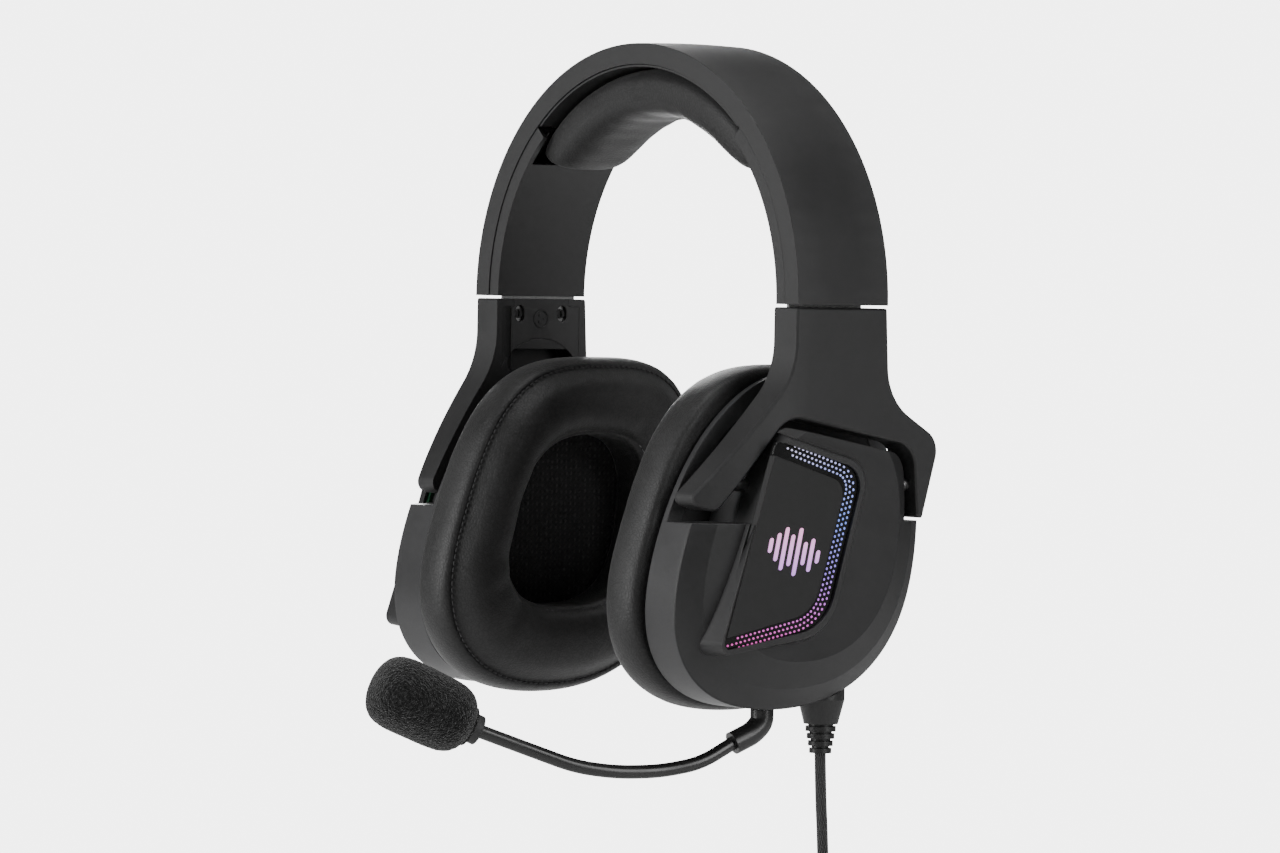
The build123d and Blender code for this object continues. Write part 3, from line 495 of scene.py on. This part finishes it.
def makeCord():
    points = cordPoints()
    data = bpy.data.curves.new("cord", "CURVE")
    data.dimensions = "3D"
    data.bevel_depth = cord["diameter"] / 2
    data.bevel_resolution = 5
    data.resolution_u = 6
    data.use_fill_caps = True
    spline = data.splines.new("NURBS")
    spline.points.add(len(points) - 1)
    for spot, point in zip(spline.points, points):
        spot.co = (point[0] * mm, point[1] * mm, point[2] * mm, 1)
    spline.order_u = 3
    spline.use_endpoint_u = True
    piece = bpy.data.objects.new("cord", data)
    scene.collection.objects.link(piece)
    data.materials.append(cordBraid)
    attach(piece, "left_cup")
    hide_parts("cord_lead", "cord_coil", "cord_tail")


makeCord()
print("cord made")


# ---------------------------------------------------------------- ear cushions
def ovalPoint(turn, shape, grow=0.0):
    # Point of the leaning oval in (Y, Z), millimetres.
    lean, taper = 0.20, 0.0027
    power = 2 / shape["powers"][0 if math.sin(turn) > 0 else 1]
    lift = (shape["halfHeight"] + grow) * math.copysign(abs(math.sin(turn)) ** power, math.sin(turn))
    reach = (shape["halfWidth"] + grow) * math.copysign(abs(math.cos(turn)) ** power, math.cos(turn))
    return (shape["middle"][0] + lean * lift + reach * (1 - taper * lift), shape["middle"][1] + lift)


cupShape = {"halfWidth": 46.0, "halfHeight": 51.5, "middle": (-6.2, -129.0), "powers": (2.3, 2.3)}
cushionShape = {"halfWidth": 47.5, "halfHeight": 51.5, "middle": (-7.2, -129.0), "powers": (3.2, 2.2)}
holeShape = {"halfWidth": 27.0, "halfHeight": 28.5, "middle": (-7.5, -127.5), "powers": (2.8, 2.8)}

cushion = {
    # (X, share of the way from the outer oval to the hole, growth outwards) from the back round to the hole
    "profile": [(54.7, 0.02, -2.5), (54.5, 0.0, -0.6), (53.2, 0.0, 0.7), (50.0, 0.0, 1.5), (46.0, 0.0, 1.7),
                (42.6, 0.0, 1.3), (40.4, 0.0, 0.4), (39.5, 0.0, -0.6), (39.6, 0.0, -1.25), (39.75, 0.0, -1.6),
                (39.3, 0.0, -1.95), (38.3, 0.0, -2.8), (36.3, 0.09, -3.0), (34.3, 0.21, -2.6),
                (32.9, 0.37, -1.8), (32.2, 0.54, -1.2), (32.1, 0.70, -0.6), (32.7, 0.83, -0.2),
                (33.9, 0.93, 0.0), (35.6, 0.985, 0.0), (36.9, 1.0, 0.3), (37.3, 1.0, 0.9), (38.2, 1.0, 1.6),
                (41.0, 1.0, 1.5), (45.0, 1.0, 1.2), (50.0, 1.0, 1.4), (54.5, 1.0, 1.9)],
    "around": 176,
    "seamX": 39.6,
    "pucker": 0.42,
    "crease": 0.42,
}


def evenTurns(shape, count, grow=0.0):
    # Turns that are evenly spaced along the oval.
    dense = 1440
    points = [ovalPoint(2 * math.pi * k / dense, shape, grow) for k in range(dense + 1)]
    lengths = [0.0]
    for a, b in zip(points, points[1:]):
        lengths.append(lengths[-1] + math.hypot(b[0] - a[0], b[1] - a[1]))
    turns, k = [], 0
    for i in range(count):
        target = lengths[-1] * i / count
        while lengths[k + 1] < target:
            k += 1
        part = (target - lengths[k]) / (lengths[k + 1] - lengths[k])
        turns.append(2 * math.pi * (k + part) / dense)
    return turns, lengths[-1]


def makeCushion(side):
    sign = sides[side]
    turns, _ = evenTurns(cushionShape, cushion["around"])
    points = []
    for x, share, grow in cushion["profile"]:
        for turn in turns:
            outer = ovalPoint(turn, cushionShape, grow * (1 - share))
            inner = ovalPoint(turn, holeShape, -grow if share == 1.0 else 0.0)
            y = outer[0] + (inner[0] - outer[0]) * share
            z = outer[1] + (inner[1] - outer[1]) * share
            near = math.exp(-((x - cushion["seamX"]) / 3.2) ** 2) * (1 - share)
            wave = noise.noise(Vector((math.cos(turn) * 26, math.sin(turn) * 26, 3.1 * sign + x * 0.10)))
            swell = noise.noise(Vector((math.cos(turn) * 5, math.sin(turn) * 5, x * 0.08 + 7 * sign)))
            move = cushion["pucker"] * wave * near + cushion["crease"] * swell * (0.4 + 0.6 * (share > 0.1))
            x2 = x + (move if 0.05 < share < 0.99 else move * 0.3)
            x2 = max(x2, 31.7)
            length = math.hypot(y - cupShape["middle"][0], z - cupShape["middle"][1])
            y += (y - cupShape["middle"][0]) / length * move * 0.6
            z += (z - cupShape["middle"][1]) / length * move * 0.6
            points.append((sign * x2 * mm, y * mm, z * mm))
    rows = len(cushion["profile"])
    faces = gridFaces(rows, cushion["around"], closedRows=True)
    piece = subdivided(meshPiece(f"{side}_cushion_cover", points, faces, cushionLeather), 2)
    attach(piece, f"{side}_cup")
    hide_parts(f"{side}_ear_cushion")
    return piece


stitches = {
    "shoulder": {"x": 39.15, "grow": -1.35, "pitch": 2.1, "length": 1.5, "radius": 0.27},
    "hole": {"x": 36.6, "grow": 0.1, "pitch": 2.0, "length": 1.35, "radius": 0.24},
}


def capsuleRing(points, faces, start, end, radius, sidesCount=6):
    # One stitch: a short thread between two points, with tucked ends.
    axis = (end - start).normalized()
    across = axis.orthogonal().normalized()
    other = axis.cross(across)
    base = len(points)
    for share, scale in ((0.0, 0.35), (0.14, 0.85), (0.5, 1.0), (0.86, 0.85), (1.0, 0.35)):
        centre = start.lerp(end, share)
        for k in range(sidesCount):
            turn = 2 * math.pi * k / sidesCount
            points.append(centre + (math.cos(turn) * across + math.sin(turn) * other) * radius * scale)
    for row in range(4):
        for k in range(sidesCount):
            a = base + row * sidesCount + k
            b = base + row * sidesCount + (k + 1) % sidesCount
            faces.append((a, b, b + sidesCount, a + sidesCount))
    faces.append(tuple(base + k for k in range(sidesCount)))
    faces.append(tuple(base + 4 * sidesCount + k for k in reversed(range(sidesCount))))


def makeStitches(side, where, shape, material):
    sign = sides[side]
    facts = stitches[where]
    _, length = evenTurns(shape, 8, facts["grow"])
    count = round(length * 1.0 / facts["pitch"])
    turns, _ = evenTurns(shape, count * 4, facts["grow"])
    points, faces = [], []
    for k in range(count):
        share = facts["length"] / facts["pitch"]
        here = ovalPoint(turns[4 * k], shape, facts["grow"])
        there = ovalPoint(turns[(4 * k + 4) % len(turns)], shape, facts["grow"])
        start = Vector((sign * facts["x"], *here)) * mm
        end = start.lerp(Vector((sign * facts["x"], *there)) * mm, share)
        capsuleRing(points, faces, start, end, facts["radius"] * mm)
    piece = meshPiece(f"{side}_{where}_stitches", points, faces, material)
    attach(piece, f"{side}_cup")


for side in sides:
    makeCushion(side)
    makeStitches(side, "shoulder", cushionShape, threadBlack)
    makeStitches(side, "hole", holeShape, threadGrey)
print("cushions made")


# ---------------------------------------------------------------- head pad
pad = {
    "arch": (0.0, -57.0),       # (X, Z) of the arch's centre
    "inner": 57.0,
    "outer": 72.4,
    "halfWidth": 15.3,
    "halfAngle": 51.0,
    "steps": 72,
    "around": 40,
}


def makePad():
    points = []
    for i in range(pad["steps"] + 1):
        part = -1 + 2 * i / pad["steps"]
        angle = math.radians(90 + pad["halfAngle"] * part)
        end = abs(part) ** 9
        size = math.sqrt(max(0.0, 1 - end))
        size = max(size, 0.12)
        thick = (pad["outer"] - pad["inner"]) * (0.35 + 0.65 * size) if abs(part) < 1 else 2.0
        half = pad["halfWidth"] * (0.62 + 0.38 * size)
        for k in range(pad["around"]):
            turn = 2 * math.pi * k / pad["around"]
            c, s = math.cos(turn), math.sin(turn)
            across = half * math.copysign(abs(c) ** 0.62, c)
            deep = math.copysign(abs(s) ** (0.62 if s > 0 else 0.80), s)      # rounder underneath
            radius = pad["outer"] - thick / 2 + deep * thick / 2
            ripple = noise.noise(Vector((part * 9, k * 0.21, 2.0))) * 0.35
            radius += ripple * (1 if s < 0 else 0) + 0.25
            points.append((radius * math.cos(angle) * mm, across * mm,
                           (pad["arch"][1] + radius * math.sin(angle)) * mm))
    rows = pad["steps"] + 1
    faces = gridFaces(rows, pad["around"])
    faces.append(tuple(range(pad["around"])))
    faces.append(tuple((rows - 1) * pad["around"] + k for k in reversed(range(pad["around"]))))
    piece = subdivided(meshPiece("head_pad_cover", points, faces, padLeather), 1)
    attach(piece, "headband")
    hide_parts("headband_pad")


makePad()
print("head pad made")


# ---------------------------------------------------------------- windscreen
windscreen = {
    "start": (39.0, -106.0, -186.4),    # end of the gooseneck
    "end": (30.2, -131.0, -174.6),
    "setback": 3.0,                     # foam begins this far past the gooseneck's end
    "length": 33.0,
    "radius": 11.5,
    "around": 150,
    "along": 64,
    "lumps": 0.22,
}


def makeWindscreen():
    start = Vector(windscreen["start"])
    axis = (Vector(windscreen["end"]) - start).normalized()
    across = axis.orthogonal().normalized()
    other = axis.cross(across)
    length, radius = windscreen["length"], windscreen["radius"]
    profile = [(1.2, 4.75), (0.4, 5.6)]
    for k in range(windscreen["along"] + 1):
        part = k / windscreen["along"]
        along = length * (0.5 - 0.5 * math.cos(math.pi * part))
        reach = abs(2 * part - 1)
        size = radius * (1 - abs(2 * along / length - 1) ** 4.6) ** (1 / 2.7)
        if along < length * 0.5:
            size = max(size, 6.4)
        size *= 1 - 0.05 * (1 - along / length)
        profile.append((along, size))
    points = []
    for along, size in profile:
        for k in range(windscreen["around"]):
            turn = 2 * math.pi * k / windscreen["around"]
            out = math.cos(turn) * across + math.sin(turn) * other
            spot = start + axis * (windscreen["setback"] + along) + out * size
            lump = noise.noise(spot * 0.95) * 0.6 + noise.noise(spot * 2.3) * 0.5
            spot += out * lump * windscreen["lumps"] * (1 if size > 5.0 else 0)
            points.append(spot * mm)
    rows = len(profile)
    faces = gridFaces(rows, windscreen["around"])
    faces.append(tuple((rows - 1) * windscreen["around"] + k for k in range(windscreen["around"])))
    faces.append(tuple(k for k in reversed(range(windscreen["around"]))))
    piece = meshPiece("foam_windscreen", points, faces, foamBlack)
    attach(piece, "mic_boom")
    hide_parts("mic_windscreen")


makeWindscreen()
print("windscreen made")


# ---------------------------------------------------------------- lights and emblem
lights = {
    "surface": 83.0,            # X of the light guide's face
    "route": [(-24.5, -100.2), (2.8, -108.8), (-10.4, -152.6), (-45.0, -159.6)],
    "bends": [0.0, 6.0, 14.5, 0.0],
    "pitch": 1.7,
    "rows": (-1.45, 0.0, 1.45),
    "dot": (0.42, 0.34, 0.22),  # half length, half width and height of one dot
}


def roundedRoute(corners, radii, step):
    # Evenly spaced points and headings along a line with rounded corners.
    dense = []
    for i, corner in enumerate(corners):
        here = Vector(corner)
        if radii[i] == 0:
            dense.append(here)
            continue
        before = (Vector(corners[i - 1]) - here).normalized()
        after = (Vector(corners[i + 1]) - here).normalized()
        half = before.angle(after) / 2
        reach = radii[i] / math.tan(half)
        centre = here + (before + after).normalized() * (radii[i] / math.sin(half))
        a, b = here + before * reach - centre, here + after * reach - centre
        for k in range(25):
            mixed = a.lerp(b, k / 24)
            dense.append(centre + mixed.normalized() * radii[i])
    spots, carried = [], 0.0
    for a, b in zip(dense, dense[1:]):
        size = (b - a).length
        while carried <= size and size > 0:
            spots.append((a.lerp(b, carried / size), (b - a).normalized()))
            carried += step
        carried -= size
    return spots


def makeDots(side):
    sign = sides[side]
    halfLong, halfWide, rise = lights["dot"]
    points, faces = [], []
    spots = roundedRoute(lights["route"], lights["bends"], lights["pitch"])
    last = len(spots) - 1
    for index, (spot, heading) in enumerate(spots):
        normal = Vector((heading.y, -heading.x))
        for row, shift in enumerate(lights["rows"]):
            if (index < 2 and row != 1) or (index > last - 2 and row != 1):
                continue            # the strip tapers to its ends
            centre = spot + normal * shift + heading * (0.5 * lights["pitch"] if row == 1 else 0.0)
            base = len(points)
            for ring, (scale, height) in enumerate(((1.0, -0.02), (0.95, 0.6), (0.55, 1.0))):
                for k in range(10):
                    turn = 2 * math.pi * k / 10
                    flat = (centre + heading * (halfLong * scale * math.cos(turn))
                            + normal * (halfWide * scale * math.sin(turn)))
                    points.append((sign * (lights["surface"] + rise * height) * mm, flat.x * mm, flat.y * mm))
            for ring in range(2):
                for k in range(10):
                    a, b = base + ring * 10 + k, base + ring * 10 + (k + 1) % 10
                    faces.append((a, b, b + 10, a + 10))
            faces.append(tuple(base + 20 + k for k in range(10)))
            faces.append(tuple(base + k for k in reversed(range(10))))
    piece = meshPiece(f"{side}_light_dots", points, faces, stripGlow)
    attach(piece, f"{side}_cup")


emblem = {
    "centre": (-21.5, -131.5),
    "surface": 84.3,
    "bars": (4.5, 8.5, 13.0, 9.5, 14.5, 7.0, 10.0, 4.0),       # heights of a sound wave's bars
    "pitch": 2.65,
    "halfWidth": 0.75,
    "lean": 0.22,
    "height": 0.22,
}


def makeEmblem(side):
    # A plain sound-wave mark, eight rounded bars.
    sign = sides[side]
    points, faces = [], []
    count = len(emblem["bars"])
    for index, tall in enumerate(emblem["bars"]):
        middle = (index - (count - 1) / 2) * emblem["pitch"]
        half, width = tall / 2 - emblem["halfWidth"], emblem["halfWidth"]
        outline = []
        for k in range(9):
            turn = math.pi * k / 8
            outline.append((width * math.cos(turn), half + width * math.sin(turn)))
        for k in range(9):
            turn = math.pi + math.pi * k / 8
            outline.append((width * math.cos(turn), -half + width * math.sin(turn)))
        base = len(points)
        for scale, rise in ((1.0, -0.05), (1.0, 0.7), (0.86, 1.0)):
            for u, v in outline:
                y = emblem["centre"][0] + middle + u * scale + emblem["lean"] * v
                z = emblem["centre"][1] + v - 0.20 * middle
                points.append((sign * (emblem["surface"] + rise * emblem["height"]) * mm, y * mm, z * mm))
        size = len(outline)
        for ring in range(2):
            for k in range(size):
                a, b = base + ring * size + k, base + ring * size + (k + 1) % size
                faces.append((a, b, b + size, a + size))
        faces.append(tuple(base + 2 * size + k for k in range(size)))
        faces.append(tuple(base + k for k in reversed(range(size))))
    piece = meshPiece(f"{side}_emblem", points, faces, emblemGlow, smooth=False)
    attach(piece, f"{side}_cup")


for side in sides:
    makeDots(side)
    makeEmblem(side)
print("lights made")


# ---------------------------------------------------------------- studio
studio = {
    "floorDrop": 0.004,
    "floorRadius": 6.0,
    "backdrop": 5.0,        # brightness of the plain backdrop and floor as they are seen
    "ambient": 0.10,        # soft light that comes from all round
}
lamps = {
    # place, width, height, power
    "leftSoftbox": ((-0.45, -1.35, 0.25), 0.7, 1.1, 16.0),
    "rightSoftbox": ((1.45, 0.30, 0.35), 0.5, 1.1, 9.0),
    "topSoftbox": ((0.15, 0.10, 1.25), 0.9, 0.9, 11.0),
    "rearStrip": ((-0.95, 0.55, 0.15), 0.3, 1.0, 10.0),
    "lowFill": ((0.55, -0.95, -0.55), 0.8, 0.5, 3.0),
}


def seenBrightness(nodes, links, shader, output, level):
    # The stage looks plain and pale, yet throws little light back on the dark object.
    path = nodes.new("ShaderNodeLightPath")
    seen = nodes.new("ShaderNodeEmission")
    seen.inputs["Strength"].default_value = level
    mix = nodes.new("ShaderNodeMixShader")
    links.new(path.outputs["Is Camera Ray"], mix.inputs["Fac"])
    links.new(shader, mix.inputs[1])
    links.new(seen.outputs["Emission"], mix.inputs[2])
    links.new(mix.outputs["Shader"], output)


def makeStudio():
    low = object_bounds()[0][2] - studio["floorDrop"]
    points = [(studio["floorRadius"] * math.cos(2 * math.pi * k / 64),
               studio["floorRadius"] * math.sin(2 * math.pi * k / 64), low) for k in range(64)]
    mat, nodes, links, shader = newMaterial("pale floor")
    shader.inputs["Base Color"].default_value = (0.8, 0.8, 0.8, 1)
    shader.inputs["Roughness"].default_value = 0.8
    seenBrightness(nodes, links, shader.outputs["BSDF"], nodes["Material Output"].inputs["Surface"],
                   studio["backdrop"])
    floor = meshPiece("floor", points, [tuple(range(64))], mat, smooth=False)
    world = bpy.data.worlds.new("studio")
    world.use_nodes = True
    nodes, links = world.node_tree.nodes, world.node_tree.links
    around = nodes["Background"]
    around.inputs["Color"].default_value = (1, 1, 1, 1)
    around.inputs["Strength"].default_value = studio["ambient"]
    path = nodes.new("ShaderNodeLightPath")
    level = nodes.new("ShaderNodeMapRange")
    level.inputs["To Min"].default_value = studio["ambient"]
    level.inputs["To Max"].default_value = studio["backdrop"]
    links.new(path.outputs["Is Camera Ray"], level.inputs["Value"])
    links.new(level.outputs["Result"], around.inputs["Strength"])
    scene.world = world
    for name, (place, width, height, power) in lamps.items():
        data = bpy.data.lights.new(name, "AREA")
        data.shape = "RECTANGLE"
        data.size, data.size_y = width, height
        data.energy = power
        lamp = bpy.data.objects.new(name, data)
        lamp.location = place
        lamp.rotation_euler = (Vector((0, 0, -0.12)) - Vector(place)).to_track_quat("-Z", "Y").to_euler()
        lamp.visible_camera = False
        scene.collection.objects.link(lamp)


makeStudio()
print("studio made")
